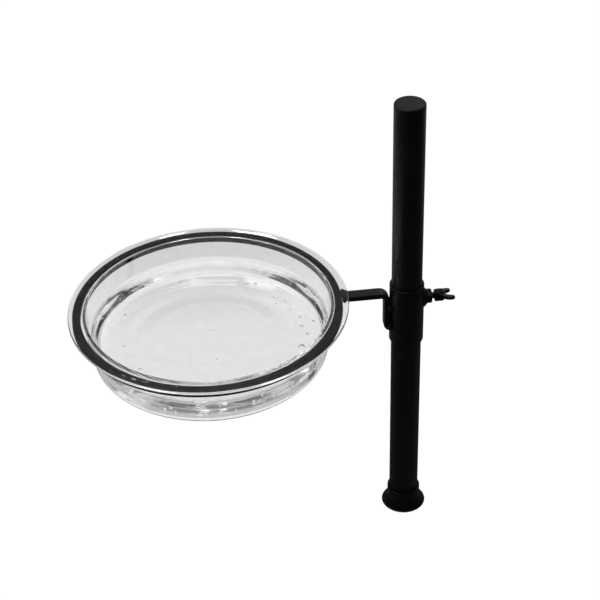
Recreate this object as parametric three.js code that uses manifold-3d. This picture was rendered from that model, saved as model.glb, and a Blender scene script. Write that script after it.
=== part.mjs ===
// Bird feeding station: a clear water dish in a steel hoop, clamped to a pole that stands in a ground socket.
// Units are millimetres and +Z is up. The pole's axis is the Z axis and the soil line is at Z = 0.
// The hoop and the dish hang on the -X side of the pole, and the clamp's wing bolt points along +X.
import * as THREE from 'three';
import Module from 'manifold-3d';

const wasm = await Module();
wasm.setup();

// ---- driving sizes ----
const FIT = 0.3; // gap left between pieces that touch or nest

const POLE_OD = 22;
const POLE_WALL = 1.2;
const POLE_TOP = 352;
const POLE_ABOVE_SPIKE = 12; // from the sleeve's lower end up to the pole's foot

const CAP_PLUG_LENGTH = 16;
const CAP_HEAD_HEIGHT = 2.4;

const DISH_OD = 199.4;
const DISH_TOP = 206;
const DISH_DEPTH = 40.5;
const DISH_WALL = 2;
const DISH_DRAFT = 5.6; // how far the wall leans in between the flange and the floor
const DISH_CORNER = 6.5; // outer radius where the wall turns into the floor
const DISH_FLANGE = 10.6; // width of the flange that rests on the hoop
const DISH_RING_INSET = 28; // from the floor's edge in to the shallow ring moulded under it

const HOOP_BAR_WIDTH = 5.7;
const HOOP_BAR_HEIGHT = 4.6;
const HOOP_PLAY = 1; // between the dish's wall and the hoop, when the dish sits in the middle

const ARM_WIDTH = 8.8;
const ARM_THICKNESS = 4.1;
const ARM_REACH = 30.6; // from the hoop's outer face to the tab's outer face
const ARM_OUTER_BEND = 7.6;
const ARM_INNER_BEND = 1.4;
const TAB_LENGTH = 32;
const TAB_CORNER = 1.6;
const ARM_WELD_LEG = 2.6;
const TAB_WELD_LENGTH = 5.2;
const TAB_WELD_WIDTH = 3.8;
const TAB_WELD_INSET = 12.5; // from the arm's top face to the middle of the upper tab weld
const TAB_WELD_STEP = 16.5;

const COLLAR_WALL = 1.2;
const COLLAR_LENGTH = 48;
const COLLAR_ABOVE_DISH = 2.5;

const SCREW_OD = 6;
const SCREW_PITCH = 1;
const SCREW_NECK = 4.6;
const SCREW_BELOW_DISH = 10.2;
const NUT_FLATS = 10;
const NUT_THICKNESS = 5.2;
const NUT_WELD_WIDTH = 2.4;
const NECK_LENGTH = 2.2; // bare neck seen between the nut and the hub
const HUB_OD = 9.2;
const HUB_LENGTH = 7;
const HUB_SEAT = 4;
const WING_SPAN = 25.6;
const WING_REACH = 6.6; // how far the wing tips stand past the hub's end
const WING_THICKNESS = 2.6;
const WING_TILT = 20; // degrees from level, the near wing up

const SOCKET_WALL = 1.2;
const SOCKET_ABOVE_SOIL = 15.5;
const SOCKET_BELOW_SOIL = 68;
const SKIRT_TOP = 5.5;
const SKIRT_BOTTOM = -2.5;
const SKIRT_REACH = 8; // how far the skirt stands out from the sleeve

const PRONG_COUNT = 4;
const PRONG_DIAMETER = 5;
const PRONG_SPREAD = 33; // distance of each prong from the pole's axis where it runs straight down
const PRONG_LENGTH = 150;
const PRONG_POINT = 16;

const SPIKE_LENGTH = 60;
const SPIKE_PLUG = 5;
const FOOT_PLUG_LENGTH = 10;

// ---- sizes that follow from them ----
const poleR = POLE_OD / 2;
const poleBoreR = poleR - POLE_WALL;
const poleFoot = POLE_ABOVE_SPIKE - SOCKET_BELOW_SOIL;
const dishTopR = DISH_OD / 2 - DISH_FLANGE;
const dishFloorR = dishTopR - DISH_DRAFT;
const hoopInR = dishTopR + HOOP_PLAY;
const hoopOutR = hoopInR + HOOP_BAR_WIDTH;
const hoopTop = DISH_TOP - DISH_WALL - FIT;
const collarInR = poleR + FIT;
const collarOutR = collarInR + COLLAR_WALL;
const collarTop = DISH_TOP + COLLAR_ABOVE_DISH;
const collarBottom = collarTop - COLLAR_LENGTH;
const screwZ = DISH_TOP - SCREW_BELOW_DISH;
const screwR = SCREW_OD / 2 - FIT;
const nutStart = collarOutR + FIT;
const nutEnd = nutStart + NUT_THICKNESS;
const hubStart = nutEnd + NECK_LENGTH;
const hubEnd = hubStart + HUB_LENGTH;
const tabInX = -(collarOutR + FIT);
const tabOutX = tabInX - ARM_THICKNESS;
const hoopX = tabOutX - ARM_REACH - hoopOutR;
const dishX = hoopX + HOOP_PLAY - FIT; // the dish has slid against the hoop on the pole's side
const socketInR = poleR + FIT;
const socketOutR = socketInR + SOCKET_WALL;
const skirtR = socketOutR + SKIRT_REACH;
const black = { color: 0x0c0d0d, roughness: 0.42, metalness: 0.35 };
const blackPlastic = { color: 0x111111, roughness: 0.55, metalness: 0 };
const clear = { color: 0xe4e8e6, roughness: 0.06, metalness: 0, transparent: true, opacity: 0.35 };

// ---- helpers ----
function toManifold(geometry) {
  const position = geometry.getAttribute('position');
  const corners = geometry.index ? geometry.index.array : [...Array(position.count).keys()];
  const seen = new Map();
  const vertices = [];
  const merged = [];
  for (let i = 0; i < position.count; i += 1) {
    const point = [position.getX(i), position.getY(i), position.getZ(i)];
    const key = point.map((value) => Math.round(value * 10000)).join(',');
    if (!seen.has(key)) {
      seen.set(key, seen.size);
      vertices.push(...point);
    }
    merged.push(seen.get(key));
  }
  const triangles = [];
  for (let i = 0; i < corners.length; i += 3) {
    const [a, b, c] = [merged[corners[i]], merged[corners[i + 1]], merged[corners[i + 2]]];
    if (a !== b && b !== c && c !== a) {
      triangles.push(a, b, c);
    }
  }
  const mesh = new wasm.Mesh({
    numProp: 3,
    vertProperties: new Float32Array(vertices),
    triVerts: new Uint32Array(triangles),
  });
  return new wasm.Manifold(mesh);
}

function fromManifold(solid) {
  const mesh = solid.getMesh();
  const geometry = new THREE.BufferGeometry();
  geometry.setAttribute('position', new THREE.BufferAttribute(new Float32Array(mesh.vertProperties), 3));
  geometry.setIndex(new THREE.BufferAttribute(new Uint32Array(mesh.triVerts), 1));
  geometry.computeVertexNormals();
  return geometry;
}

function turned(profile, segments) {
  const points = profile.map(([radius, height]) => new THREE.Vector2(radius, height));
  return new THREE.LatheGeometry(points, segments).rotateX(Math.PI / 2);
}

function alongX(geometry, x, y, z) {
  return geometry.rotateY(Math.PI / 2).translate(x, y, z);
}

function tubeProfile(inR, outR, low, high, edge) {
  return [
    [inR, low],
    [outR - edge, low],
    [outR, low + edge],
    [outR, high - edge],
    [outR - edge, high],
    [inR, high],
    [inR, low],
  ];
}

function arc(centreR, centreZ, radius, from, to, steps) {
  const points = [];
  for (let i = 0; i <= steps; i += 1) {
    const angle = THREE.MathUtils.degToRad(from + ((to - from) * i) / steps);
    points.push([centreR + radius * Math.cos(angle), centreZ + radius * Math.sin(angle)]);
  }
  return points;
}

function postCylinder(radius, segments) {
  const height = POLE_TOP - poleFoot;
  const middle = (POLE_TOP + poleFoot) / 2;
  const post = new THREE.CylinderGeometry(radius, radius, height, segments);
  return toManifold(post.rotateX(Math.PI / 2).translate(0, 0, middle));
}

function node(group, name, geometry, look) {
  const mesh = new THREE.Mesh(geometry, new THREE.MeshStandardMaterial(look));
  mesh.name = name;
  group.add(mesh);
}

// ---- pole ----
function poleTube() {
  return turned(tubeProfile(poleBoreR, poleR, poleFoot, POLE_TOP, 0.3), 48);
}

function poleEndCap() {
  const plugR = poleBoreR - FIT;
  const seat = POLE_TOP + FIT;
  const crown = seat + CAP_HEAD_HEIGHT;
  return turned([
    [0, POLE_TOP - CAP_PLUG_LENGTH],
    [plugR - 1, POLE_TOP - CAP_PLUG_LENGTH],
    [plugR, POLE_TOP - CAP_PLUG_LENGTH + 1],
    [plugR, seat],
    [poleR, seat],
    [poleR, crown - 1.2],
    [poleR - 0.5, crown - 0.4],
    [poleR - 1.6, crown],
    [0, crown],
  ], 48);
}

function poleFootPlug() {
  const plugR = poleBoreR - FIT;
  const seat = poleFoot - FIT;
  return turned([
    [0, seat - 2],
    [poleR - 0.6, seat - 2],
    [poleR, seat - 1.4],
    [poleR, seat],
    [plugR, seat],
    [plugR, poleFoot + FOOT_PLUG_LENGTH],
    [0, poleFoot + FOOT_PLUG_LENGTH],
  ], 48);
}

// ---- dish and hoop ----
function dish() {
  const rim = DISH_OD / 2;
  const ring = dishFloorR - DISH_RING_INSET;
  const under = DISH_TOP - DISH_WALL;
  const base = DISH_TOP - DISH_DEPTH;
  const wallIn = dishTopR - DISH_WALL;
  const turnZ = base + DISH_CORNER;
  const outerTurn = dishFloorR - DISH_CORNER + 0.8;
  const innerR = DISH_CORNER - DISH_WALL;
  const profile = [
    [0, base + 0.6],
    [ring - 2, base + 0.6],
    [ring - 1, base],
    [ring + 1, base],
    [ring + 2, base + 0.6],
    [outerTurn - 5, base + 0.6],
    ...arc(outerTurn, turnZ, DISH_CORNER, -90, -9, 5),
    [dishTopR - 0.4, under - 1.2],
    [dishTopR, under],
    [rim - 0.5, under],
    [rim, under + 0.5],
    [rim, DISH_TOP - 0.5],
    [rim - 0.5, DISH_TOP],
    [wallIn + 1.6, DISH_TOP],
    [wallIn + 0.5, DISH_TOP - 0.5],
    [wallIn, DISH_TOP - 1.7],
    ...arc(outerTurn, turnZ, innerR, -9, -90, 5),
    [0, base + DISH_WALL],
  ];
  return turned(profile, 72).translate(dishX, 0, 0);
}

function hoopRing() {
  const low = hoopTop - HOOP_BAR_HEIGHT;
  const edge = 0.5;
  const profile = [
    [hoopInR + edge, low],
    [hoopOutR - edge, low],
    [hoopOutR, low + edge],
    [hoopOutR, hoopTop - edge],
    [hoopOutR - edge, hoopTop],
    [hoopInR + edge, hoopTop],
    [hoopInR, hoopTop - edge],
    [hoopInR, low + edge],
    [hoopInR + edge, low],
  ];
  return turned(profile, 72).translate(hoopX, 0, 0);
}

// ---- arm with its bent tab, seen from the side and extruded across its width ----
function armBar() {
  const edge = 0.5;
  const start = hoopX + hoopOutR + FIT + edge;
  const top = hoopTop - edge;
  const under = hoopTop - ARM_THICKNESS + edge;
  const inX = tabInX - edge;
  const outX = tabOutX + edge;
  const foot = hoopTop - TAB_LENGTH + edge;
  const shape = new THREE.Shape();
  shape.moveTo(start, under);
  shape.lineTo(outX - ARM_INNER_BEND, under);
  shape.absarc(outX - ARM_INNER_BEND, under - ARM_INNER_BEND, ARM_INNER_BEND, Math.PI / 2, 0, true);
  shape.lineTo(outX, foot + 1.6 * TAB_CORNER);
  shape.lineTo(outX + TAB_CORNER, foot);
  shape.lineTo(inX, foot);
  shape.lineTo(inX, top - ARM_OUTER_BEND);
  shape.absarc(inX - ARM_OUTER_BEND, top - ARM_OUTER_BEND, ARM_OUTER_BEND, 0, Math.PI / 2, false);
  shape.lineTo(start, top);
  shape.closePath();
  const bar = new THREE.ExtrudeGeometry(shape, {
    depth: ARM_WIDTH - 2 * edge,
    bevelEnabled: true,
    bevelThickness: edge,
    bevelSize: edge,
    bevelSegments: 2,
    curveSegments: 8,
  });
  return bar.rotateX(Math.PI / 2).translate(0, ARM_WIDTH / 2 - edge, 0);
}

// A fillet weld in the corner between the hoop's outer face and one side of the arm.
function armWeld(side) {
  const faceX = (y) => hoopX + Math.sqrt((hoopOutR + FIT) ** 2 - y * y);
  const nearY = ARM_WIDTH / 2 + FIT;
  const farY = nearY + ARM_WELD_LEG;
  const cornerX = faceX(nearY) + ARM_WELD_LEG + 0.4;
  const height = HOOP_BAR_HEIGHT - 0.6;
  const shape = new THREE.Shape();
  shape.moveTo(faceX(nearY) + 0.1, nearY);
  shape.lineTo(cornerX, nearY);
  shape.quadraticCurveTo(faceX(nearY) + 0.9, nearY + 0.8, faceX(farY) + 0.25, farY);
  shape.closePath();
  const bead = new THREE.ExtrudeGeometry(shape, { depth: height, bevelEnabled: false, curveSegments: 6 });
  bead.translate(0, 0, hoopTop - HOOP_BAR_HEIGHT + 0.3);
  return side > 0 ? bead : bead.rotateX(Math.PI).translate(0, 0, 2 * hoopTop - HOOP_BAR_HEIGHT);
}

// A bead of weld between the collar and one edge of the arm's tab.
function tabWeld(side, z) {
  const edgeY = ARM_WIDTH / 2 + FIT;
  const bead = new THREE.SphereGeometry(1, 20, 12);
  bead.scale(0.6 * TAB_WELD_WIDTH, TAB_WELD_WIDTH / 2, TAB_WELD_LENGTH / 2);
  bead.translate(tabInX + 0.4, side * (edgeY + 0.5), z);
  const keep = new THREE.BoxGeometry(20, 10, 20).translate(tabInX, side * (edgeY + 5), z);
  const solid = toManifold(bead).intersect(toManifold(keep)).subtract(postCylinder(collarOutR + FIT, 48));
  return fromManifold(solid);
}

// ---- sliding collar, its nut and its wing bolt ----
function collarSleeve() {
  const tube = toManifold(turned(tubeProfile(collarInR, collarOutR, collarBottom, collarTop, 0.4), 48));
  const drill = new THREE.CylinderGeometry(SCREW_OD / 2, SCREW_OD / 2, 6, 24).rotateZ(Math.PI / 2);
  return fromManifold(tube.subtract(toManifold(drill.translate(collarOutR, 0, screwZ))));
}

function hexBlank(grow, from, to) {
  const corner = (NUT_FLATS / 2 + grow) / Math.cos(Math.PI / 6);
  const blank = new THREE.CylinderGeometry(corner, corner, to - from, 6).rotateX(Math.PI / 2);
  return toManifold(alongX(blank, (from + to) / 2, 0, screwZ));
}

function weldNut() {
  const corner = NUT_FLATS / 2 / Math.cos(Math.PI / 6);
  const turnedSides = turned([
    [SCREW_OD / 2, 0],
    [corner, 0],
    [corner, NUT_THICKNESS - 0.7],
    [corner - 1.1, NUT_THICKNESS],
    [SCREW_OD / 2 + 0.5, NUT_THICKNESS],
    [SCREW_OD / 2, NUT_THICKNESS - 0.5],
    [SCREW_OD / 2, 0],
  ], 36);
  const body = toManifold(alongX(turnedSides, nutStart, 0, screwZ));
  return fromManifold(body.intersect(hexBlank(0, nutStart - 1, nutEnd + 1)));
}

// The weld runs round the nut's foot and fills down to the collar's curved side.
function nutWeld() {
  const corner = NUT_FLATS / 2 / Math.cos(Math.PI / 6);
  const footR = corner + NUT_WELD_WIDTH;
  const ring = turned([
    [0, -4],
    [footR + 0.4, -4],
    [footR, 0],
    [corner + 1.2, 1.4],
    [corner + 0.7, 1.9],
    [0, 1.9],
  ], 30);
  const bead = toManifold(alongX(ring, nutStart, 0, screwZ - 0.5));
  const hole = hexBlank(FIT, nutStart - 8, nutEnd + 8);
  return fromManifold(bead.subtract(hole).subtract(postCylinder(collarOutR + FIT, 48)));
}

function boltShank() {
  const tip = poleR + FIT;
  const end = hubStart + HUB_SEAT - FIT;
  const threadEnd = nutEnd + 0.4;
  const root = screwR - 0.55 * SCREW_PITCH;
  const profile = [[0, 0], [root, 0]];
  for (let x = 0.5; x + SCREW_PITCH / 2 < threadEnd - tip; x += SCREW_PITCH) {
    profile.push([screwR, x]);
    profile.push([root, x + SCREW_PITCH / 2]);
  }
  profile.push([SCREW_NECK / 2, threadEnd - tip]);
  profile.push([SCREW_NECK / 2, end - tip]);
  profile.push([0, end - tip]);
  return alongX(turned(profile, 20), tip, 0, screwZ);
}

function wingShape() {
  const tipX = hubEnd + WING_REACH;
  const tipN = WING_SPAN / 2;
  const shape = new THREE.Shape();
  shape.moveTo(hubStart + 1.8, 1.5);
  shape.lineTo(hubStart + 2.4, HUB_OD / 2);
  shape.quadraticCurveTo(hubEnd - 2.2, tipN - 4.4, tipX - 6.2, tipN - 1.6);
  shape.quadraticCurveTo(tipX - 3.6, tipN + 0.9, tipX - 1.4, tipN - 0.9);
  shape.quadraticCurveTo(tipX + 0.7, tipN - 2.9, tipX - 1, tipN - 5.2);
  shape.quadraticCurveTo(hubEnd + 1.2, HUB_OD / 2 + 0.4, hubEnd - 1.2, 1.5);
  shape.closePath();
  return shape;
}

function wing(angle) {
  const round = 0.6;
  const ear = new THREE.ExtrudeGeometry(wingShape(), {
    depth: WING_THICKNESS - 2 * round,
    bevelEnabled: true,
    bevelThickness: round,
    bevelSize: round,
    bevelOffset: -round,
    bevelSegments: 2,
    curveSegments: 5,
  });
  ear.translate(0, 0, round - WING_THICKNESS / 2);
  ear.rotateX(THREE.MathUtils.degToRad(angle));
  return toManifold(ear.translate(0, 0, screwZ));
}

function wingHead() {
  const hubR = HUB_OD / 2;
  const hub = turned([
    [SCREW_NECK / 2 + FIT, 0],
    [hubR - 1, 0],
    [hubR, 1],
    [hubR, HUB_LENGTH - 1.8],
    [hubR - 0.8, HUB_LENGTH - 0.6],
    [hubR - 2.2, HUB_LENGTH],
    [0, HUB_LENGTH],
    [0, HUB_SEAT],
    [SCREW_NECK / 2 + FIT, HUB_SEAT],
    [SCREW_NECK / 2 + FIT, 0],
  ], 28);
  const seat = new THREE.CylinderGeometry(SCREW_NECK / 2 + FIT, SCREW_NECK / 2 + FIT, HUB_SEAT + 2, 28);
  const seatSolid = toManifold(seat.rotateZ(Math.PI / 2).translate(hubStart + HUB_SEAT / 2 - 1, 0, screwZ));
  let solid = toManifold(alongX(hub, hubStart, 0, screwZ));
  for (const angle of [180 - WING_TILT, 360 - WING_TILT]) {
    solid = solid.add(wing(angle));
  }
  return fromManifold(solid.subtract(seatSolid));
}

// ---- ground socket ----
function socketSleeve() {
  return turned([
    [socketInR, -SOCKET_BELOW_SOIL],
    [socketOutR, -SOCKET_BELOW_SOIL],
    [socketOutR, SKIRT_BOTTOM - 1.6],
    [skirtR - 0.8, SKIRT_BOTTOM - 1.6],
    [skirtR, SKIRT_BOTTOM - 0.8],
    [skirtR - 0.6, SKIRT_BOTTOM],
    [socketOutR + 3.4, 1],
    [socketOutR + 1, SKIRT_TOP - 2],
    [socketOutR, SKIRT_TOP],
    [socketOutR, SOCKET_ABOVE_SOIL - 0.5],
    [socketOutR - 0.5, SOCKET_ABOVE_SOIL],
    [socketInR, SOCKET_ABOVE_SOIL],
    [socketInR, -SOCKET_BELOW_SOIL],
  ], 48);
}

function groundSpike() {
  const plugR = socketInR - FIT;
  const seat = -SOCKET_BELOW_SOIL - FIT;
  return turned([
    [0, seat - SPIKE_LENGTH],
    [1.2, seat - SPIKE_LENGTH + 2],
    [socketOutR, seat - 8],
    [socketOutR, seat],
    [plugR, seat],
    [plugR, seat + SPIKE_PLUG],
    [0, seat + SPIKE_PLUG],
  ], 48);
}

function prong(index) {
  const radius = PRONG_DIAMETER / 2;
  const top = SKIRT_BOTTOM - 1.6 - 2 * FIT;
  const rootX = socketOutR + FIT + radius + 1;
  const rise = PRONG_SPREAD - rootX;
  const bend = [
    new THREE.Vector3(rootX, 0, top),
    new THREE.Vector3(rootX, 0, top - 5),
    new THREE.Vector3(rootX + 0.45 * rise, 0, top - 16),
    new THREE.Vector3(rootX + 0.88 * rise, 0, top - 30),
    new THREE.Vector3(PRONG_SPREAD, 0, top - 44),
    new THREE.Vector3(PRONG_SPREAD, 0, top - 60),
    new THREE.Vector3(PRONG_SPREAD, 0, top - PRONG_LENGTH + PRONG_POINT),
  ];
  const section = new THREE.Shape().absarc(0, 0, radius, 0, Math.PI * 2, false);
  const rod = new THREE.ExtrudeGeometry(section, {
    steps: 24,
    bevelEnabled: false,
    curveSegments: 6,
    extrudePath: new THREE.CatmullRomCurve3(bend),
  });
  const point = new THREE.ConeGeometry(radius, PRONG_POINT, 12).rotateX(-Math.PI / 2);
  point.translate(PRONG_SPREAD, 0, top - PRONG_LENGTH + PRONG_POINT / 2 + 0.02);
  const solid = toManifold(rod).add(toManifold(point));
  return fromManifold(solid).rotateZ((index * 2 * Math.PI) / PRONG_COUNT);
}

// ---- the whole station ----
function build() {
  const station = new THREE.Group();
  station.name = 'bird_feeder_on_pole';
  node(station, 'pole_tube', poleTube(), black);
  node(station, 'pole_end_cap', poleEndCap(), blackPlastic);
  node(station, 'pole_foot_plug', poleFootPlug(), blackPlastic);
  node(station, 'dish', dish(), clear);
  node(station, 'hoop_ring', hoopRing(), black);
  node(station, 'arm_bar', armBar(), black);
  node(station, 'arm_weld_far', armWeld(1), black);
  node(station, 'arm_weld_near', armWeld(-1), black);
  const upper = hoopTop - TAB_WELD_INSET;
  const lower = upper - TAB_WELD_STEP;
  node(station, 'tab_weld_near_upper', tabWeld(-1, upper), black);
  node(station, 'tab_weld_near_lower', tabWeld(-1, lower), black);
  node(station, 'tab_weld_far_upper', tabWeld(1, upper), black);
  node(station, 'tab_weld_far_lower', tabWeld(1, lower), black);
  node(station, 'collar_sleeve', collarSleeve(), black);
  node(station, 'weld_nut', weldNut(), black);
  node(station, 'nut_weld', nutWeld(), black);
  node(station, 'bolt_shank', boltShank(), black);
  node(station, 'wing_head', wingHead(), black);
  node(station, 'socket_sleeve', socketSleeve(), black);
  for (let i = 0; i < PRONG_COUNT; i += 1) {
    node(station, `prong_${i + 1}`, prong(i), black);
  }
  node(station, 'ground_spike', groundSpike(), black);
  return station;
}

export default build();
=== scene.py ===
"""Looks of the bird feeding station: a clear water dish in a black steel hoop, clamped to a black pole.

Everything is in metres in the CAD frame: +Z up, the pole on the Z axis, the soil line at Z = 0,
the dish on the -X side and the wing bolt along +X.
"""
import math

import bmesh
import bpy
import numpy as np
from mathutils import Matrix, Vector, noise


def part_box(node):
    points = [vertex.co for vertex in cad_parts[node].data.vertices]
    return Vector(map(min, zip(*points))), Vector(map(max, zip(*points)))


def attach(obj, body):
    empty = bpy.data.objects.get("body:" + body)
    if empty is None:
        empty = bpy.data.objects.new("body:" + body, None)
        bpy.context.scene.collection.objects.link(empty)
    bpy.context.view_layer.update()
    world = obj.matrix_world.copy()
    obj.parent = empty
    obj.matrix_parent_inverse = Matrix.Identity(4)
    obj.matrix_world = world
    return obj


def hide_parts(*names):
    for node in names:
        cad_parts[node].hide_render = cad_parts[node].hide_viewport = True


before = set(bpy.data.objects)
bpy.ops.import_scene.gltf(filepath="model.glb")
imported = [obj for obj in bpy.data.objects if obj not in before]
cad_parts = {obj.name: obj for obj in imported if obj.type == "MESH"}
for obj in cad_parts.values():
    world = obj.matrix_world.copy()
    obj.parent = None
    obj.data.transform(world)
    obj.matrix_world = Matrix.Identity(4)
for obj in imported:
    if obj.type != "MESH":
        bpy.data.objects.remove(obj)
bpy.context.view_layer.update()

MM = 0.001
HEX_HALF = math.pi / 6
WHITE = (1.0, 1.0, 1.0)
BOUNCES = 40


def corners_of(node):
    """The lowest and highest corner of a CAD node as two plain tuples."""
    low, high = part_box(node)
    return tuple(low), tuple(high)


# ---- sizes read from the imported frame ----
POLE_LOW, POLE_HIGH = corners_of("pole_tube")
POLE_R = POLE_HIGH[0]
CAP_LOW, CAP_HIGH = corners_of("pole_end_cap")
DISH_LOW, DISH_HIGH = corners_of("dish")
DISH_X = (DISH_LOW[0] + DISH_HIGH[0]) / 2
DISH_R = (DISH_HIGH[0] - DISH_LOW[0]) / 2
DISH_TOP = DISH_HIGH[2]
DISH_BASE = DISH_LOW[2]
HOOP_LOW, HOOP_HIGH = corners_of("hoop_ring")
HOOP_R = (HOOP_HIGH[0] - HOOP_LOW[0]) / 2
HOOP_X = (HOOP_HIGH[0] + HOOP_LOW[0]) / 2
ARM_LOW, ARM_HIGH = corners_of("arm_bar")
COLLAR_LOW, COLLAR_HIGH = corners_of("collar_sleeve")
COLLAR_R = COLLAR_HIGH[0]
NUT_LOW, NUT_HIGH = corners_of("weld_nut")
SHANK_LOW, SHANK_HIGH = corners_of("bolt_shank")
WING_LOW = corners_of("wing_head")[0]
SOCKET_LOW, SOCKET_HIGH = corners_of("socket_sleeve")
SPIKE_LOW, SPIKE_HIGH = corners_of("ground_spike")
SCREW_Z = (SHANK_LOW[2] + SHANK_HIGH[2]) / 2
NUT_FLATS = min(NUT_HIGH[1] - NUT_LOW[1], NUT_HIGH[2] - NUT_LOW[2]) / 2

# ---- sizes that the frame does not give ----
FIT = 0.3 * MM
POLE_WALL = 1.2 * MM
PLUG_R = POLE_R - 1.5 * MM
DISH_WALL = 2.0 * MM
DISH_FLANGE = 10.6 * MM
DISH_DRAFT = 4.8 * MM
FLOOR_RISE = 0.6 * MM
FLOOR_Z = DISH_BASE + DISH_WALL + FLOOR_RISE
DISH_CORNER = 6.5 * MM
DISH_RING_R = 56 * MM
HOOP_BAR = 5.7 * MM
WATER_Z = 185.0 * MM
MENISCUS = 4.4 * MM
SCREW_HOLE_R = 3.0 * MM
WELD_SINK = 0.08 * MM

# Bubbles: distance along X and Y from the dish's middle, height of the centre and radius, in mm.
# A separate program worked these rows out from where the bubbles stand in the photo.
FLOOR_BUBBLES = [
    (63.3, -21.6, 170.8, 2.55), (69.2, -7.2, 169.75, 1.5), (66.5, 2.9, 169.75, 1.5),
    (76.0, 7.7, 169.6, 1.35), (31.9, 62.0, 169.75, 1.5), (38.7, 61.7, 169.6, 1.35),
    (50.9, 41.5, 169.75, 1.5), (58.5, 35.4, 169.45, 1.2), (61.0, 24.9, 169.45, 1.2),
    (66.4, 14.1, 169.6, 1.35), (-60.7, 36.6, 169.6, 1.35), (-62.6, -1.0, 169.45, 1.2),
    (-52.2, -29.4, 169.75, 1.5), (-18.8, 72.0, 169.6, 1.35), (1.4, 8.4, 169.15, 0.9),
    (50.9, 34.1, 169.15, 0.9), (2.3, -26.0, 169.15, 0.9), (62.8, 8.6, 169.15, 0.9),
]
WALL_BUBBLES = [
    (-36.7, -71.9, 174.9, 1.8), (-32.5, -74.6, 177.8, 1.5), (-29.9, -75.0, 173.4, 1.5),
    (0.1, -82.2, 181.9, 1.2), (10.5, -80.5, 174.8, 1.35), (23.0, -77.7, 178.4, 1.95),
    (26.9, -77.2, 178.7, 1.2), (-58.8, -57.3, 182.8, 1.5), (29.0, -77.2, 183.1, 1.2),
    (36.8, -72.8, 178.8, 1.5), (50.5, -63.5, 179.0, 1.95), (47.1, -67.6, 183.0, 1.2),
    (67.1, -46.8, 181.2, 1.5), (-57.0, -58.1, 176.3, 1.2),
]


# ---- mesh helpers ----
def add_mesh(name, vertices, faces, material, sharp=35):
    """A mesh object with outward normals, smooth except across edges steeper than sharp degrees."""
    mesh = bpy.data.meshes.new(name)
    mesh.from_pydata([tuple(v) for v in vertices], [], faces)
    shell = bmesh.new()
    shell.from_mesh(mesh)
    bmesh.ops.recalc_face_normals(shell, faces=shell.faces)
    shell.to_mesh(mesh)
    shell.free()
    mesh.shade_smooth()
    mesh.set_sharp_from_angle(angle=math.radians(sharp))
    mesh.materials.append(material)
    obj = bpy.data.objects.new(name, mesh)
    bpy.context.scene.collection.objects.link(obj)
    return obj


def rounded(corners, steps=5):
    """A closed outline whose corners (x, y, radius) become arcs."""
    out = []
    for i, (x, y, radius) in enumerate(corners):
        if radius <= 0:
            out.append((x, y))
            continue
        here = Vector((x, y))
        back = (Vector(corners[i - 1][:2]) - here).normalized()
        ahead = (Vector(corners[(i + 1) % len(corners)][:2]) - here).normalized()
        half = back.angle(ahead) / 2
        middle = here + (back + ahead).normalized() * radius / math.sin(half)
        start = here + back * radius / math.tan(half) - middle
        end = here + ahead * radius / math.tan(half) - middle
        turn = start.angle_signed(end)
        for step in range(steps + 1):
            spin = Matrix.Rotation(-turn * step / steps, 2)
            out.append(tuple(middle + spin @ start))
    return out


def grid_faces(rows, closed_rows):
    """Quads between neighbouring rows of vertex numbers. A number that repeats makes a triangle."""
    faces = []
    last = len(rows) if closed_rows else len(rows) - 1
    for i in range(last):
        low, high = rows[i], rows[(i + 1) % len(rows)]
        for j in range(len(low)):
            k = (j + 1) % len(low)
            corners = list(dict.fromkeys((low[j], low[k], high[k], high[j])))
            if len(corners) > 2:
                faces.append(corners)
    return faces


def ring_of(vertices, rows, count):
    """Starts a ring of count vertices and gives the angle of each."""
    rows.append(list(range(len(vertices), len(vertices) + count)))
    return [2 * math.pi * k / count for k in range(count)]


def lathe(name, profile, material, centre=(0, 0), segments=160, sharp=35):
    """Turns a profile of (radius, height) round the vertical axis through centre."""
    vertices, rows = [], []
    for radius, height in profile:
        if radius < 1e-7:
            rows.append([len(vertices)] * segments)
            vertices.append((centre[0], centre[1], height))
            continue
        for angle in ring_of(vertices, rows, segments):
            x = centre[0] + radius * math.cos(angle)
            vertices.append((x, centre[1] + radius * math.sin(angle), height))
    closed = profile[0][0] > 1e-7 and profile[-1][0] > 1e-7
    return add_mesh(name, vertices, grid_faces(rows, closed), material, sharp)


def lathe_x(name, profile, material, origin, segments=72, sharp=35):
    """Turns a profile of (radius, distance) round the line through origin along +X."""
    obj = lathe(name, profile, material, (0, 0), segments, sharp)
    obj.data.transform(Matrix.Translation(origin) @ Matrix.Rotation(math.pi / 2, 4, "Y"))
    return obj


def rod_x(name, radius, length, material, origin):
    """A plain cylinder along +X, to cut with."""
    outline = [(0, 0), (radius, 0), (radius, length), (0, length)]
    return lathe_x(name, outline, material, origin, 48)


def stand_for(obj, body, *nodes):
    """obj rides on the body and is shown in place of the CAD nodes."""
    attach(obj, body)
    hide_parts(*nodes)
    return obj


# ---- materials ----
def node_tree(name):
    material = bpy.data.materials.new(name)
    material.use_nodes = True
    tree = material.node_tree
    tree.nodes.clear()
    out = tree.nodes.new("ShaderNodeOutputMaterial")
    shader = tree.nodes.new("ShaderNodeBsdfPrincipled")
    tree.links.new(shader.outputs["BSDF"], out.inputs["Surface"])
    return material, tree, shader


def texture(tree, kind, coordinates, **sockets):
    made = tree.nodes.new(kind)
    tree.links.new(coordinates, made.inputs["Vector"])
    for socket, value in sockets.items():
        made.inputs[socket.replace("_", " ")].default_value = value
    return made


def object_coordinates(tree, scale=(1, 1, 1)):
    place = tree.nodes.new("ShaderNodeTexCoord")
    mapping = tree.nodes.new("ShaderNodeMapping")
    mapping.inputs["Scale"].default_value = scale
    tree.links.new(place.outputs["Object"], mapping.inputs["Vector"])
    return mapping.outputs["Vector"]


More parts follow.
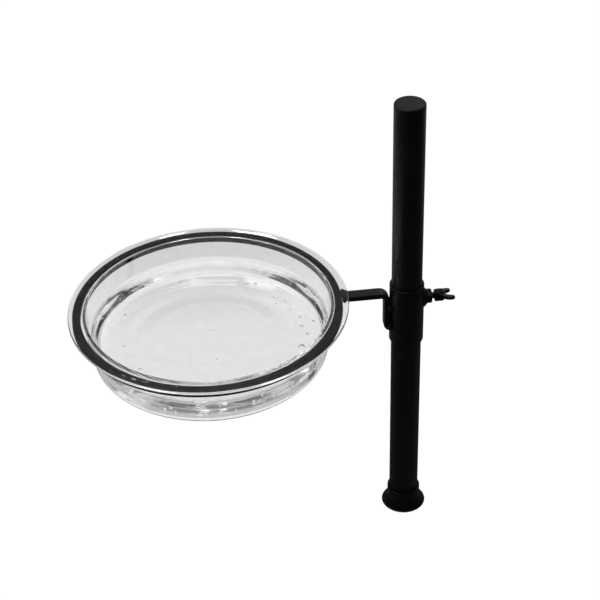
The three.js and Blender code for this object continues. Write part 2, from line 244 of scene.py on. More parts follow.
def ramp(tree, source, stops, interpolation="LINEAR"):
    """A colour ramp. Each stop is (position, grey or colour)."""
    made = tree.nodes.new("ShaderNodeValToRGB")
    made.color_ramp.interpolation = interpolation
    while len(made.color_ramp.elements) < len(stops):
        made.color_ramp.elements.new(0.5)
    for element, (position, colour) in zip(made.color_ramp.elements, stops):
        element.position = position
        if not isinstance(colour, tuple):
            colour = (colour, colour, colour)
        element.color = (*colour, 1)
    tree.links.new(source, made.inputs["Fac"])
    return made.outputs["Color"]


def bump(tree, height, strength, distance, before=None):
    made = tree.nodes.new("ShaderNodeBump")
    made.inputs["Strength"].default_value = strength
    made.inputs["Distance"].default_value = distance
    tree.links.new(height, made.inputs["Height"])
    if before is not None:
        tree.links.new(before, made.inputs["Normal"])
    return made.outputs["Normal"]


def mixed(tree, factor, first, second):
    made = tree.nodes.new("ShaderNodeMix")
    made.data_type = "RGBA"
    tree.links.new(factor, made.inputs["Factor"])
    for socket, value in ((made.inputs[6], first), (made.inputs[7], second)):
        if isinstance(value, tuple):
            socket.default_value = (*value, 1)
        else:
            tree.links.new(value, socket)
    return made.outputs[2]


def powder_coat(name, base=(0.0085, 0.0088, 0.0092), worn=0.5):
    """Black powder coat: fine orange peel, softly uneven gloss, dust and rubbed edges."""
    material, tree, shader = node_tree(name)
    place = object_coordinates(tree)
    peel = texture(tree, "ShaderNodeTexNoise", place, Scale=1500, Detail=2)
    wave = texture(tree, "ShaderNodeTexNoise", place, Scale=260, Detail=3)
    cloud = texture(tree, "ShaderNodeTexNoise", place, Scale=38, Detail=6, Roughness=0.62)
    speck = texture(tree, "ShaderNodeTexNoise", place, Scale=900, Detail=1)
    shape = tree.nodes.new("ShaderNodeNewGeometry")
    edge = ramp(tree, shape.outputs["Pointiness"], [(0.515, 0.0), (0.56, worn)])
    dust = ramp(tree, speck.outputs["Fac"], [(0.66, 0.0), (0.73, 1.0)])
    tone = ramp(tree, cloud.outputs["Fac"], [(0.35, base), (0.7, tuple(1.5 * c for c in base))])
    dusty = mixed(tree, dust, tone, tuple(2.6 * c for c in base))
    rubbed = mixed(tree, edge, dusty, (0.035, 0.035, 0.036))
    tree.links.new(rubbed, shader.inputs["Base Color"])
    gloss = ramp(tree, cloud.outputs["Fac"], [(0.3, 0.36), (0.72, 0.5)])
    tree.links.new(gloss, shader.inputs["Roughness"])
    shader.inputs["Specular IOR Level"].default_value = 0.32
    skin = bump(tree, wave.outputs["Fac"], 0.25, 0.00025)
    skin = bump(tree, peel.outputs["Fac"], 0.3, 0.00006, skin)
    tree.links.new(skin, shader.inputs["Normal"])
    return material


def weld_coat(name):
    """The same coat over a weld bead: rougher, with tight ripples."""
    material, tree, shader = node_tree(name)
    place = object_coordinates(tree)
    ripple = texture(tree, "ShaderNodeTexNoise", place, Scale=520, Detail=4, Roughness=0.6)
    tone = ramp(tree, ripple.outputs["Fac"], [(0.3, 0.008), (0.75, 0.014)])
    tree.links.new(tone, shader.inputs["Base Color"])
    gloss = ramp(tree, ripple.outputs["Fac"], [(0.3, 0.3), (0.75, 0.46)])
    tree.links.new(gloss, shader.inputs["Roughness"])
    shader.inputs["Specular IOR Level"].default_value = 0.4
    tree.links.new(bump(tree, ripple.outputs["Fac"], 0.5, 0.0003), shader.inputs["Normal"])
    return material


def black_plastic(name):
    """Moulded black plastic: matt, with a fine grain and faint flow marks."""
    material, tree, shader = node_tree(name)
    place = object_coordinates(tree)
    grain = texture(tree, "ShaderNodeTexNoise", place, Scale=2600, Detail=2)
    flow = texture(tree, "ShaderNodeTexNoise", object_coordinates(tree, (60, 60, 12)), Scale=1, Detail=5)
    tone = ramp(tree, flow.outputs["Fac"], [(0.3, (0.010, 0.010, 0.011)), (0.75, (0.018, 0.018, 0.019))])
    tree.links.new(tone, shader.inputs["Base Color"])
    gloss = ramp(tree, flow.outputs["Fac"], [(0.3, 0.46), (0.75, 0.62)])
    tree.links.new(gloss, shader.inputs["Roughness"])
    shader.inputs["Specular IOR Level"].default_value = 0.35
    tree.links.new(bump(tree, grain.outputs["Fac"], 0.35, 0.00005), shader.inputs["Normal"])
    return material


def clear_plastic(name):
    """Clear moulded plastic: a faintly mottled body tint, soft mould swirl and a few fine scratches."""
    material, tree, shader = node_tree(name)
    place = object_coordinates(tree)
    swirl = texture(tree, "ShaderNodeTexNoise", place, Scale=55, Detail=3)
    scratch = texture(
        tree, "ShaderNodeTexNoise", object_coordinates(tree, (90, 1400, 60)), Scale=1, Detail=2
    )
    mottle = texture(tree, "ShaderNodeTexNoise", place, Scale=150, Detail=4, Distortion=0.6)
    tone = ramp(tree, mottle.outputs["Fac"], [(0.36, (0.950, 0.955, 0.948)), (0.64, (0.992, 0.994, 0.990))])
    tree.links.new(tone, shader.inputs["Base Color"])
    haze = ramp(tree, scratch.outputs["Fac"], [(0.55, 0.012), (0.8, 0.07)])
    tree.links.new(haze, shader.inputs["Roughness"])
    shader.inputs["Transmission Weight"].default_value = 1.0
    shader.inputs["IOR"].default_value = 1.49
    tree.links.new(bump(tree, swirl.outputs["Fac"], 0.035, 0.002), shader.inputs["Normal"])
    return material


def water_surface(name):
    """Still water with the faintest ripple."""
    material, tree, shader = node_tree(name)
    place = object_coordinates(tree)
    ripple = texture(tree, "ShaderNodeTexNoise", place, Scale=14, Detail=1)
    tone = ramp(tree, ripple.outputs["Fac"], [(0.2, (0.985, 0.99, 0.988)), (0.8, (0.995, 0.998, 0.995))])
    tree.links.new(tone, shader.inputs["Base Color"])
    shader.inputs["Roughness"].default_value = 0.0
    shader.inputs["Transmission Weight"].default_value = 1.0
    shader.inputs["IOR"].default_value = 1.333
    tree.links.new(bump(tree, ripple.outputs["Fac"], 0.04, 0.002), shader.inputs["Normal"])
    return material


def air_bubble(name):
    """A bubble of air inside the water, seen as an index step down."""
    material, tree, shader = node_tree(name)
    place = object_coordinates(tree)
    film = texture(tree, "ShaderNodeTexNoise", place, Scale=300, Detail=1)
    tone = ramp(tree, film.outputs["Fac"], [(0.2, 0.97), (0.8, 1.0)])
    tree.links.new(tone, shader.inputs["Base Color"])
    shader.inputs["Roughness"].default_value = 0.0
    shader.inputs["Transmission Weight"].default_value = 1.0
    shader.inputs["IOR"].default_value = 0.75
    return material


STEEL = powder_coat("black_powder_coat_steel")
STEEL_SMALL = powder_coat("black_powder_coat_small_parts", (0.011, 0.011, 0.0115), 0.8)
WELD = weld_coat("black_powder_coat_weld")
PLASTIC = black_plastic("black_moulded_plastic")
CLEAR = clear_plastic("clear_moulded_plastic")
WATER = water_surface("water")
AIR = air_bubble("air_bubbles")


# ---- camera ----
# The view that was fitted to the photo: directions in degrees, focal length in mm, place in metres.
VIEW_AZIMUTH, VIEW_ELEVATION, VIEW_ROLL = -5.88, 35.84, -1.78
VIEW_LENS = 94.2
VIEW_PLACE = (-0.1704, -0.9042, 0.8589)


def camera():
    az, el, roll = (math.radians(turn) for turn in (VIEW_AZIMUTH, VIEW_ELEVATION, VIEW_ROLL))
    look = Vector((-math.sin(az) * math.cos(el), math.cos(az) * math.cos(el), -math.sin(el)))
    right = Vector((math.cos(az), math.sin(az), 0))
    up = right.cross(look)
    side = math.cos(roll) * right + math.sin(roll) * up
    top = -math.sin(roll) * right + math.cos(roll) * up
    data = bpy.data.cameras.new("camera")
    data.sensor_width = 36
    data.lens = VIEW_LENS
    obj = bpy.data.objects.new("camera", data)
    turn = Matrix((side, top, -look)).transposed().to_4x4()
    obj.matrix_world = Matrix.Translation(VIEW_PLACE) @ turn
    bpy.context.scene.collection.objects.link(obj)
    bpy.context.scene.camera = obj


# ---- studio ----
# Floor and world are white to the camera, graded grey through clear pieces, and a dark room to other rays.
# Their levels were tuned to the photo's greys. They light the pieces and are no part of them.
def share_between(tree, value, low, high):
    """0 where the value is low, 1 where it is high."""
    made = tree.nodes.new("ShaderNodeMapRange")
    made.inputs["From Min"].default_value = low
    made.inputs["From Max"].default_value = high
    tree.links.new(value, made.inputs["Value"])
    return made.outputs[0]


def by_ray(tree, room, through):
    """White to the camera, one grey to rays through clear pieces and another to all other rays."""
    path = tree.nodes.new("ShaderNodeLightPath")
    passed = mixed(tree, path.outputs["Is Transmission Ray"], room, through)
    return mixed(tree, path.outputs["Is Camera Ray"], passed, WHITE)


def floor_material():
    material = bpy.data.materials.new("floor_white")
    material.use_nodes = True
    tree = material.node_tree
    tree.nodes.clear()
    out = tree.nodes.new("ShaderNodeOutputMaterial")
    add = tree.nodes.new("ShaderNodeAddShader")
    matt = tree.nodes.new("ShaderNodeBsdfDiffuse")
    matt.inputs["Color"].default_value = (0.06, 0.06, 0.06, 1)
    glow = tree.nodes.new("ShaderNodeEmission")
    place = tree.nodes.new("ShaderNodeTexCoord")
    split = tree.nodes.new("ShaderNodeSeparateXYZ")
    tree.links.new(place.outputs["Object"], split.inputs[0])
    reach = share_between(tree, split.outputs["Y"], -0.35, 0.55)
    lit = ramp(tree, reach, [(0.0, 0.03), (0.45, 0.06), (1.0, 0.5)], "EASE")
    behind = ramp(tree, reach, [(0.66, 0.87), (0.71, 0.76), (0.8, 0.63)])
    tree.links.new(by_ray(tree, lit, behind), glow.inputs["Color"])
    tree.links.new(matt.outputs[0], add.inputs[0])
    tree.links.new(glow.outputs[0], add.inputs[1])
    tree.links.new(add.outputs[0], out.inputs["Surface"])
    return material


def studio():
    """Floor, surroundings and lamps."""
    far = 10
    corners = [(x, y, 0) for x, y in ((-far, -far), (far, -far), (far, far), (-far, far))]
    add_mesh("floor", corners, [(0, 1, 2, 3)], floor_material())
    world = bpy.data.worlds.new("studio")
    bpy.context.scene.world = world
    world.use_nodes = True
    tree = world.node_tree
    tree.nodes.clear()
    out = tree.nodes.new("ShaderNodeOutputWorld")
    sky = tree.nodes.new("ShaderNodeBackground")
    place = tree.nodes.new("ShaderNodeTexCoord")
    split = tree.nodes.new("ShaderNodeSeparateXYZ")
    tree.links.new(place.outputs["Generated"], split.inputs[0])
    reach = share_between(tree, split.outputs["Y"], -1, 1)
    lit = ramp(tree, reach, [(0.0, 0.015), (0.5, 0.05), (1.0, 0.22)], "EASE")
    ceiling = ramp(tree, split.outputs["Z"], [(0.3, 0.74), (0.5, 0.04)])
    tree.links.new(by_ray(tree, lit, ceiling), sky.inputs["Color"])
    tree.links.new(sky.outputs[0], out.inputs["Surface"])
    dish_middle = (DISH_X, 0, DISH_TOP)
    softbox("key_left", (-1.0, 0.2, 1.6), dish_middle, (0.9, 0.9), 2.8)
    softbox("back_right", (0.9, 1.5, 1.5), dish_middle, (0.8, 0.8), 1.6)
    softbox("top", (-0.1, 0.1, 2.2), dish_middle, (0.8, 0.8), 2.6)
    softbox("strip_left", (-0.155, 1.88, 1.305), dish_middle, (0.061, 0.06), 9)
    softbox("strip_right", (0.035, 1.88, 1.32), dish_middle, (0.097, 0.08), 9)


def softbox(name, place, aim, size, radiance):
    """A soft rectangular lamp, its width level, of the given brightness."""
    data = bpy.data.lights.new(name, "AREA")
    data.shape = "RECTANGLE"
    data.size, data.size_y = size
    data.energy = radiance * math.pi * size[0] * size[1]
    obj = bpy.data.objects.new(name, data)
    look = (Vector(aim) - Vector(place)).normalized()
    obj.matrix_world = Matrix.Translation(place) @ look.to_track_quat("-Z", "Y").to_matrix().to_4x4()
    bpy.context.scene.collection.objects.link(obj)


# ---- pole, cap and ground socket ----
def pole():
    low, high = POLE_LOW[2], POLE_HIGH[2]
    bore = POLE_R - POLE_WALL
    edge = 0.35 * MM
    profile = rounded([(bore, low, edge), (POLE_R, low, edge), (POLE_R, high, edge), (bore, high, edge)], 3)
    stand_for(lathe("pole", profile, STEEL), "pole", "pole_tube")


def pole_cap():
    plug, crown = CAP_LOW[2], CAP_HIGH[2]
    seat = crown - 2.4 * MM
    outline = rounded([
        (0, plug, 0),
        (PLUG_R, plug, 0.9 * MM),
        (PLUG_R, seat, 0),
        (POLE_R, seat, 0.25 * MM),
        (POLE_R, crown, 1.5 * MM),
        (0, crown, 0),
    ], 6)
    stand_for(lathe("pole_cap", outline, PLASTIC), "end_cap", "pole_end_cap")


def socket():
    """A sleeve for the pole's foot, with a skirt at the soil line that flares up to it."""
    bore = POLE_R + FIT
    out = bore + POLE_WALL
    skirt = SOCKET_HIGH[0]
    low, high = SOCKET_LOW[2], SOCKET_HIGH[2]
    skirt_low, skirt_top = -4.1 * MM, -2.6 * MM
    flare, flare_z, neck_z = 3.2 * MM, 0.8 * MM, 5.5 * MM
    outline = rounded([
        (bore, low, 0.3 * MM),
        (out, low, 0.4 * MM),
        (out, skirt_low, 0),
        (skirt, skirt_low, 0.6 * MM),
        (skirt, skirt_top, 0.6 * MM),
        (out + flare, flare_z, 3 * MM),
        (out, neck_z, 2 * MM),
        (out, high, 0.5 * MM),
        (bore, high, 0.3 * MM),
    ], 6)
    stand_for(lathe("ground_socket", outline, STEEL), "ground_socket", "socket_sleeve")


def spike():
    low, high = SPIKE_LOW[2], SPIKE_HIGH[2]
    out = SPIKE_HIGH[0]
    seat = high - 5 * MM
    shoulder = seat - 8 * MM
    point_r, point_z = 1.2 * MM, low + 1.0 * MM
    outline = rounded([
        (0, low, 0),
        (point_r, point_z, 0.5 * MM),
        (out, shoulder, 4 * MM),
        (out, seat, 0.3 * MM),
        (POLE_R, seat, 0),
        (POLE_R, high, 0.4 * MM),
        (0, high, 0),
    ], 6)
    stand_for(lathe("ground_spike_point", outline, STEEL), "ground_socket", "ground_spike")


# ---- dish, water ----
def wall_radius(height):
    """Inner radius of the dish's wall at a height."""
    top = DISH_R - DISH_FLANGE - DISH_WALL
    share = (DISH_TOP - height) / (DISH_TOP - DISH_BASE - DISH_CORNER)
    return top - DISH_DRAFT * share


def dish():
    """A tray with a flat rim, sloping walls and a low ring under its floor to stand on."""
    top = DISH_TOP
    wall = DISH_R - DISH_FLANGE
    low_wall = wall - DISH_DRAFT
    under = DISH_BASE + FLOOR_RISE
    ring, ring_half = DISH_RING_R, 9 * MM
    outline = rounded([
        (0, under, 0),
        (ring - ring_half, under, 20 * MM),
        (ring, DISH_BASE + 0.1 * MM, 40 * MM),
        (ring + ring_half, under, 20 * MM),
        (low_wall - 0.4 * MM, under, DISH_CORNER - FLOOR_RISE),
        (wall, top - DISH_WALL, 0.9 * MM),
        (DISH_R, top - DISH_WALL, 0.7 * MM),
        (DISH_R, top, 0.9 * MM),
        (wall - DISH_WALL, top, 0.5 * MM),
        (low_wall - DISH_WALL - 0.2 * MM, FLOOR_Z, DISH_CORNER - DISH_WALL),
        (0, FLOOR_Z, 0),
    ], 10)
    piece = lathe("dish_clear", outline, CLEAR, (DISH_X, 0), 288, 50)
    stand_for(piece, "dish", "dish")


def water():
    """Water standing in the dish, drawn up the wall, its edge a hair inside the plastic."""
    sink = 0.06 * MM
    low = FLOOR_Z - sink
    edge_r = wall_radius(WATER_Z + MENISCUS) + sink
    outline = rounded([
        (0, low, 0),
        (wall_radius(low) + sink, low, DISH_CORNER - DISH_WALL),
        (edge_r, WATER_Z + MENISCUS, 0),
    ], 10)
    first, growth, fall = 0.35 * MM, 1.25, 2.4 * MM
    for k in range(1, 15):
        back = first * (growth ** k - 1)
        outline.append((edge_r - back, WATER_Z + MENISCUS * math.exp(-back / fall)))
    outline.append((edge_r - 16 * MM, WATER_Z))
    outline.append((0, WATER_Z))
    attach(lathe("water_in_dish", outline, WATER, (DISH_X, 0), 288, 60), "dish")


def bubbles():
    """Air bubbles that cling to the floor and to the wall under water."""
    vertices, faces = [], []
    columns, levels = 20, 12
    for x, y, z, size in FLOOR_BUBBLES + WALL_BUBBLES:
        rows = []
        for i in range(levels + 1):
            polar = math.pi * i / levels
            across, rise = size * math.sin(polar), size * math.cos(polar)
            if i in (0, levels):
                rows.append([len(vertices)] * columns)
                vertices.append((DISH_X + x * MM, y * MM, (z + rise) * MM))
                continue
            for angle in ring_of(vertices, rows, columns):
                side = x + across * math.cos(angle), y + across * math.sin(angle)
                vertices.append((DISH_X + side[0] * MM, side[1] * MM, (z + rise) * MM))
        faces += grid_faces(rows, False)
    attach(add_mesh("bubbles_in_water", vertices, faces, AIR, 70), "dish")


def hoop():
    top = HOOP_HIGH[2]
    low = HOOP_LOW[2]
    inner = HOOP_R - HOOP_BAR
    edge = 0.6 * MM
    outline = rounded([(inner, low, edge), (HOOP_R, low, edge), (HOOP_R, top, edge), (inner, top, edge)], 4)
    stand_for(lathe("hoop", outline, STEEL, (HOOP_X, 0), 288), "carrier", "hoop_ring")


# ---- arm ----
def arm():
    """A flat bar that runs level from the hoop and bends down into a tab on the collar."""
    half = (ARM_HIGH[1] - ARM_LOW[1]) / 2
    top, foot = ARM_HIGH[2], ARM_LOW[2]
    start, end = ARM_LOW[0], ARM_HIGH[0]
    thick, edge = 4.1 * MM, 0.6 * MM
    bend_out, bend_in = 7.6 * MM, 1.4 * MM
    level_steps, bend_steps, tab_steps = 6, 16, 4
    stations = []
    for k in range(level_steps + 1):
        x = start + (end - bend_out - start) * k / level_steps
        stations.append(((x, top), (min(x, end - thick - bend_in), top - thick)))
    for k in range(1, bend_steps + 1):
        angle = math.pi / 2 * (1 - k / bend_steps)
        c, s = math.cos(angle), math.sin(angle)
        outer = (end - bend_out + bend_out * c, top - bend_out + bend_out * s)
        inner = (end - thick - bend_in + bend_in * c, top - thick - bend_in + bend_in * s)
        stations.append((outer, inner))
    taper = 2.6 * MM
    for k in range(1, tab_steps + 1):
        z = top - bend_out + (foot + taper - top + bend_out) * k / tab_steps
        stations.append(((end, z), (end - thick, min(z, top - thick - bend_in))))
    # The tab's lower end: how far up, and how far in from its front and back faces.
    for up, front, back in ((0.5 * MM, 0, 1.4 * MM), (0, 0.3 * MM, 1.9 * MM)):
        stations.append(((end - front, foot + up), (end - thick + back, foot + up)))
    vertices, rows = [], []
    for outer, inner in stations:
        out_point = Vector((outer[0], 0, outer[1]))
        depth = Vector((inner[0], 0, inner[1])) - out_point
        t = depth.length
        section = rounded([(-half, 0, edge), (half, 0, edge), (half, t, edge), (-half, t, edge)], 4)
        rows.append(list(range(len(vertices), len(vertices) + len(section))))
        for y, d in section:
            vertices.append(out_point + depth.normalized() * d + Vector((0, y, 0)))
    faces = grid_faces(rows, False) + [rows[0], rows[-1]]
    stand_for(add_mesh("arm", vertices, faces, STEEL), "carrier", "arm_bar")


# ---- clamp: collar, nut, bolt, wing head and welds ----
def settled(obj, sharp=35):
    """Applies the object's modifiers to its mesh."""
    bpy.context.view_layer.update()
    view = bpy.context.evaluated_depsgraph_get()
    mesh = bpy.data.meshes.new_from_object(obj.evaluated_get(view))
    obj.modifiers.clear()
    obj.data = mesh
    mesh.shade_smooth()
    mesh.set_sharp_from_angle(angle=math.radians(sharp))
    return obj


def cut_away(obj, tool, sharp=35):
    """Takes the tool's solid out of the object."""
    boolean = obj.modifiers.new("cut", "BOOLEAN")
    boolean.operation = "DIFFERENCE"
    boolean.solver = "EXACT"
    boolean.object = tool
    settled(obj, sharp)
    bpy.data.objects.remove(tool)
    return obj


def collar():
    """A sleeve on the pole with a plain hole where the bolt goes through."""
    bore = POLE_R + FIT
    low, high = COLLAR_LOW[2], COLLAR_HIGH[2]
    outline = rounded([
        (bore, low, 0.2 * MM),
        (COLLAR_R, low, 0.45 * MM),
        (COLLAR_R, high, 0.45 * MM),
        (bore, high, 0.3 * MM),
    ], 5)
    piece = lathe("clamp_collar", outline, STEEL, (0, 0), 192)
    hole = rod_x("hole", SCREW_HOLE_R, 6 * MM, STEEL, (9.5 * MM, 0, SCREW_Z))
    stand_for(cut_away(piece, hole), "carrier", "collar_sleeve")


def nut():
    """A hexagon nut, its outer end chamfered in a cone, its bore plain with a chamfered mouth."""
    corner = NUT_FLATS / math.cos(HEX_HALF)
    flat_turn = HEX_HALF if NUT_HIGH[1] - NUT_LOW[1] > NUT_HIGH[2] - NUT_LOW[2] else 0
    start, end = NUT_LOW[0], NUT_HIGH[0]
    bore, mouth = SCREW_HOLE_R, 0.5 * MM
    wear = 0.12 * MM
    count = 216
    rings = []
    for x, cone in (
        (start, corner - 0.5 * MM),
        (start + 0.35 * MM, math.inf),
        (end - 1.0 * MM, math.inf),
        (end - 0.66 * MM, corner),
        (end - 0.45 * MM, corner - 0.33 * MM),
        (end - 0.2 * MM, corner - 0.72 * MM),
        (end, corner - 1.15 * MM),
    ):
        ring = []
        for k in range(count):
            angle = 2 * math.pi * k / count
            turned = (angle + flat_turn) % (2 * HEX_HALF) - HEX_HALF
            last_tenth = max(0, abs(turned) / HEX_HALF - 0.9) * 10
            side = NUT_FLATS / math.cos(turned) - wear * last_tenth
            ring.append((x, min(side, cone), angle))
        rings.append(ring)
    for x, radius in ((end, bore + mouth), (end - mouth, bore), (start, bore)):
        rings.append([(x, radius, 2 * math.pi * k / count) for k in range(count)])
    vertices, rows = [], []
    for ring in rings:
        rows.append(list(range(len(vertices), len(vertices) + count)))
        for x, radius, angle in ring:
            vertices.append((x, radius * math.cos(angle), SCREW_Z + radius * math.sin(angle)))
    piece = add_mesh("weld_nut_hex", vertices, grid_faces(rows, True), STEEL_SMALL, 25)
    stand_for(piece, "carrier", "weld_nut")


def nut_weld():
    """A lumpy bead round the foot of the nut that runs down onto the round collar."""
    start = NUT_LOW[0]
    lap = 0.75 * MM
    root = NUT_FLATS / math.cos(HEX_HALF) - lap
    width, height = 2.0, 1.7
    count = 144
    vertices, rows = [], []
    profile = [(0.0, 1.0), (0.12, 1.0), (0.3, 0.86), (0.5, 0.62), (0.7, 0.36), (0.86, 0.16), (1.0, 0.0)]
    for out, rise in profile:
        for angle in ring_of(vertices, rows, count):
            lump = noise.noise(Vector((2.1 * math.cos(angle), 2.1 * math.sin(angle), 3.7)))
            ripple = 0.12 * MM * math.sin(19 * angle + 2 * lump)
            reach = (width + 0.7 * lump) * MM + ripple
            radius = root + (lap + reach) * out
            y, z = radius * math.cos(angle), radius * math.sin(angle) - 0.3 * MM * out
            skin = math.sqrt(max(COLLAR_R ** 2 - y * y, 0)) - WELD_SINK
            top = start + (height + 0.35 * lump) * MM + ripple
            vertices.append((skin + (top - skin) * rise, y, SCREW_Z + z))
    for angle in ring_of(vertices, rows, count):
        y = root * math.cos(angle)
        skin = math.sqrt(COLLAR_R ** 2 - y * y) - WELD_SINK
        vertices.append((skin, y, SCREW_Z + root * math.sin(angle)))
    stand_for(add_mesh("nut_weld_bead", vertices, grid_faces(rows, True), WELD, 60), "carrier", "nut_weld")


def bolt():
    """A threaded shank with a true helix, and a bare neck that the wing head is cast onto."""
    tip, end = SHANK_LOW[0], SHANK_HIGH[0]
    thread_end = NUT_HIGH[0] + 0.4 * MM
    pitch, steps_per_turn = 1.0 * MM, 12
    crest, neck = 2.7 * MM, 2.3 * MM
    root = neck - 0.15 * MM
    lead_in, run_out = 0.8 * MM, 0.7 * MM
    count = 48
    vertices, rows = [], []
    for x in np.arange(tip, thread_end, pitch / steps_per_turn):
        lead = min(1.0, (x - tip) / lead_in + 0.25)
        fade = min(1.0, max(0.0, (thread_end - x) / run_out))
        for angle in ring_of(vertices, rows, count):
            phase = ((x - tip) / pitch + angle / (2 * math.pi)) % 1.0
            tooth = min(1.0, max(0.0, 1.35 * (1 - abs(2 * phase - 1)) - 0.1))
            radius = root + (crest - root) * tooth * min(lead, fade)
            vertices.append((x, radius * math.cos(angle), SCREW_Z + radius * math.sin(angle)))
    for x, radius in ((thread_end, neck), (end - 0.2 * MM, neck), (end, neck - 0.2 * MM)):
        for angle in ring_of(vertices, rows, count):
            vertices.append((x, radius * math.cos(angle), SCREW_Z + radius * math.sin(angle)))
    faces = grid_faces(rows, False) + [rows[0], rows[-1]]
    stand_for(add_mesh("bolt_threaded", vertices, faces, STEEL_SMALL, 50), "bolt", "bolt_shank")


def quadratic(start, middle, end, steps=8):
    """Points along a quadratic curve, without its first point."""
    out = []
    for k in range(1, steps + 1):
        t = k / steps
        blend = [(1 - t) ** 2 * a + 2 * t * (1 - t) * b + t * t * c for a, b, c in zip(start, middle, end)]
        out.append(tuple(blend))
    return out


def wing_outline(start, end, tip_x, tip_n, hub_r):
    """One ear of the wing head seen flat: distance along the bolt, distance out from it."""
    points = [(start + 1.8, 0.6), (start + 2.4, hub_r)]
    for middle, last in (
        ((end - 2.2, tip_n - 4.4), (tip_x - 6.2, tip_n - 1.6)),
        ((tip_x - 3.6, tip_n + 0.9), (tip_x - 1.4, tip_n - 0.9)),
        ((tip_x + 0.7, tip_n - 2.9), (tip_x - 1.0, tip_n - 5.2)),
        ((end + 1.2, hub_r + 0.4), (end - 1.2, 0.6)),
    ):
        points += quadratic(points[-1], middle, last)
    return [(x * MM, n * MM) for x, n in points]


def wing_head():
    """Hub and two ears fused into one casting, with soft fillets between them."""
    hub_r, length = 4.6, 7.0
    ear_past_hub, ear_reach = 6.6, 12.8
    root_thick, thinning = 1.25, 0.35
    tilt = math.radians(-20)
    start = WING_LOW[0] / MM
    shell = bmesh.new()
    outline = wing_outline(start, start + length, start + length + ear_past_hub, ear_reach, hub_r)
    middle = Vector((sum(p[0] for p in outline), sum(p[1] for p in outline))) / len(outline)
    for side in (1, -1):
        loops = []
        for level, inset in ((-1.3, 0.55), (-1.1, 0.25), (-0.8, 0.0), (0.8, 0.0), (1.1, 0.25), (1.3, 0.55)):
            loop = []
            for x, n in outline:
                flat = Vector((x, n))
                flat = flat + (middle - flat).normalized() * inset * MM
                y = side * flat.y
                z = level * MM * (root_thick - thinning * min(1, flat.y / (ear_reach * MM)))
                across = y * math.cos(tilt) - z * math.sin(tilt)
                rise = y * math.sin(tilt) + z * math.cos(tilt)
                loop.append(shell.verts.new((flat.x, across, SCREW_Z + rise)))
            loops.append(loop)
        for low, high in zip(loops, loops[1:]):
            for k in range(len(low)):
                j = (k + 1) % len(low)
                shell.faces.new((low[k], low[j], high[j], high[k]))
        shell.faces.new(loops[0])
        shell.faces.new(list(reversed(loops[-1])))
    bmesh.ops.recalc_face_normals(shell, faces=shell.faces)
    mesh = bpy.data.meshes.new("ears")
    shell.to_mesh(mesh)
    shell.free()
    ears = bpy.data.objects.new("ears", mesh)
    bpy.context.scene.collection.objects.link(ears)
    profile = rounded([
        (0, 0, 0), (hub_r * MM, 0, 0.9 * MM), (hub_r * MM, length * MM, 1.6 * MM), (0, length * MM, 0),
    ], 6)
    hub = lathe_x("wing_head_cast", profile, STEEL_SMALL, (WING_LOW[0], 0, SCREW_Z), 64)
    join = hub.modifiers.new("join", "BOOLEAN")
    join.operation = "UNION"
    join.solver = "EXACT"
    join.object = ears
    remesh = hub.modifiers.new("cast", "REMESH")
    remesh.mode = "VOXEL"
    remesh.voxel_size = 0.24 * MM
    soften = hub.modifiers.new("soften", "SMOOTH")
    soften.factor = 0.5
    soften.iterations = 7
    settled(hub, 60)
    bpy.data.objects.remove(ears)
    seat = rod_x("seat", 2.6 * MM, 5 * MM, STEEL_SMALL, (WING_LOW[0] - 1 * MM, 0, SCREW_Z))
    cut_away(hub, seat, 40)
    if not hub.data.materials:
        hub.data.materials.append(STEEL_SMALL)
    stand_for(hub, "wings", "wing_head")


def bead(name, node, middle, size, seed, collar_skin=None):
    """A short weld bead: an egg with ripples, laid into the corner it joins."""
    columns, levels = 40, 26
    vertices, rows = [], []
    for i in range(levels + 1):
        polar = math.pi * i / levels
        if i in (0, levels):
            rows.append([len(vertices)] * columns)
            vertices.append((middle[0], middle[1], middle[2] + size[2] * math.cos(polar)))
            continue
        for angle in ring_of(vertices, rows, columns):
            across = math.sin(polar)
            unit = Vector((across * math.cos(angle), across * math.sin(angle), math.cos(polar)))
            rough = 0.09 * noise.noise(unit * 2.3 + Vector((seed, 0, 0)))
            lump = 1 + rough + 0.035 * math.sin(17 * unit.z + seed)
            x, y, z = (middle[a] + size[a] * unit[a] * lump for a in range(3))
            if collar_skin:
                far = math.hypot(x, y)
                if far < collar_skin:
                    x, y = x * collar_skin / far, y * collar_skin / far
            vertices.append((x, y, z))
    piece = add_mesh(name, vertices, grid_faces(rows, False), WELD, 70)
    stand_for(piece, "carrier", node)


def welds():
    """Four beads between tab and collar, and two between arm and hoop."""
    for seed, name in enumerate(("near_upper", "near_lower", "far_upper", "far_lower")):
        low, high = corners_of("tab_weld_" + name)
        side = 1 if low[1] > 0 else -1
        inner = min(abs(low[1]), abs(high[1])) - 0.4 * MM
        outer = max(abs(low[1]), abs(high[1]))
        middle = ((low[0] + high[0]) / 2 + 0.2 * MM, side * (inner + outer) / 2, (low[2] + high[2]) / 2)
        size = ((high[0] - low[0]) / 2 + 0.25 * MM, (outer - inner) / 2, (high[2] - low[2]) / 2)
        bead("tab_weld_bead_" + name, "tab_weld_" + name, middle, size, seed * 1.7, COLLAR_R - WELD_SINK)
    for seed, name in enumerate(("far", "near")):
        low, high = corners_of("arm_weld_" + name)
        side = 1 if low[1] > 0 else -1
        out = abs(low[1] + high[1]) / 2 - 0.35 * MM
        middle = ((low[0] + high[0]) / 2 - 0.3 * MM, side * out, (low[2] + high[2]) / 2)
        size = ((high[0] - low[0]) / 2, (high[1] - low[1]) / 2 + 0.1 * MM, (high[2] - low[2]) / 2)
        bead("arm_weld_bead_" + name, "arm_weld_" + name, middle, size, 5 + seed)


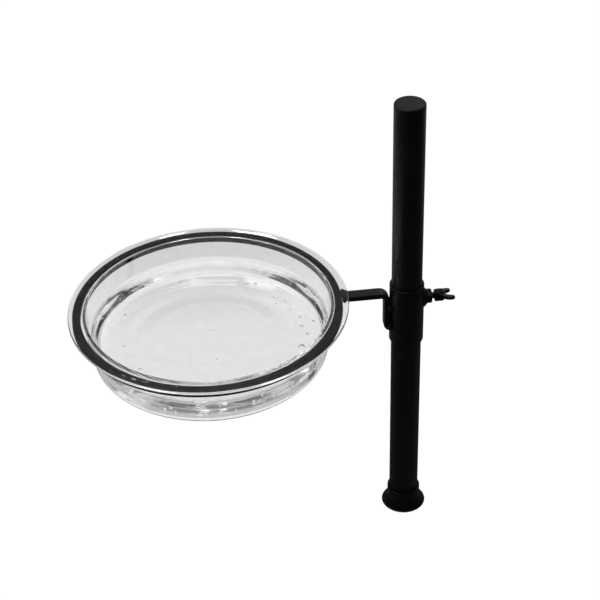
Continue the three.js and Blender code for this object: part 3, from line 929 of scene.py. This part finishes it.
# ---- under the soil line ----
def between(a, b, c, d, t):
    """A point from b to c on a smooth curve through four points (Catmull-Rom)."""
    return tuple(
        0.5 * (2 * b[i] + (c[i] - a[i]) * t + (2 * a[i] - 5 * b[i] + 4 * c[i] - d[i]) * t * t
               + (3 * b[i] - a[i] - 3 * c[i] + d[i]) * t ** 3)
        for i in range(2)
    )


def prongs():
    """Four round rods that run out and down from the skirt and end in points."""
    rod, spread, count = 2.5, 33.0, 28
    skirt_reach, clear = 8, 1
    root = SOCKET_HIGH[0] / MM - skirt_reach + FIT / MM + rod + clear
    rise = spread - root
    # Distance from the pole's axis and depth below the rod's top.
    knots = [(root, 0), (root, 5), (root + 0.45 * rise, 16), (root + 0.88 * rise, 30)]
    knots += [(spread, 44), (spread, 60)]
    bend = []
    for k in range(len(knots) - 1):
        around = knots[max(k - 1, 0)], knots[k], knots[k + 1], knots[min(k + 2, len(knots) - 1)]
        bend += [between(*around, step / 10) for step in range(10)]
    for index in range(4):
        low, high = corners_of(f"prong_{index + 1}")
        top, foot = high[2], low[2]
        depth = (top - foot) / MM
        path = bend + [(spread, 60), (spread, depth - 16), (spread, depth - 8), (spread, depth - 1.2)]
        widths = [1.0] * (len(path) - 2) + [0.52, 0.12]
        turn = Matrix.Rotation(index * math.pi / 2, 3, "Z")
        vertices, rows = [], []
        for i, (x, z) in enumerate(path):
            before, after = path[max(i - 1, 0)], path[min(i + 1, len(path) - 1)]
            along = Vector((after[0] - before[0], 0, -(after[1] - before[1]))).normalized()
            side = along.cross(Vector((0, 1, 0))).normalized()
            for angle in ring_of(vertices, rows, count):
                off = math.cos(angle) * side + math.sin(angle) * Vector((0, 1, 0))
                off = off * rod * MM * widths[i]
                vertices.append(turn @ (Vector((x * MM, 0, top - z * MM)) + off))
        rows.append([len(vertices)] * count)
        vertices.append(turn @ Vector((spread * MM, 0, foot)))
        faces = grid_faces(rows, False) + [rows[0]]
        piece = add_mesh(f"prong_rod_{index + 1}", vertices, faces, STEEL, 50)
        stand_for(piece, "ground_socket", f"prong_{index + 1}")


def foot_plug():
    low, high = corners_of("pole_foot_plug")
    seat = POLE_LOW[2] - FIT
    outline = rounded([
        (0, low[2], 0),
        (POLE_R, low[2], 0.7 * MM),
        (POLE_R, seat, 0.2 * MM),
        (PLUG_R, seat, 0),
        (PLUG_R, high[2], 0.8 * MM),
        (0, high[2], 0),
    ], 5)
    stand_for(lathe("foot_plug", outline, PLASTIC, (0, 0), 96), "pole", "pole_foot_plug")


# ---- build ----
camera()
studio()
pole()
pole_cap()
socket()
spike()
dish()
water()
bubbles()
hoop()
arm()
collar()
nut()
nut_weld()
bolt()
wing_head()
welds()
prongs()
foot_plug()

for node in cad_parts.values():
    for slot in node.material_slots:
        slot.material = STEEL

scene = bpy.context.scene
scene.view_settings.view_transform = "Standard"
scene.cycles.max_bounces = BOUNCES
scene.cycles.transmission_bounces = BOUNCES
scene.cycles.glossy_bounces = BOUNCES
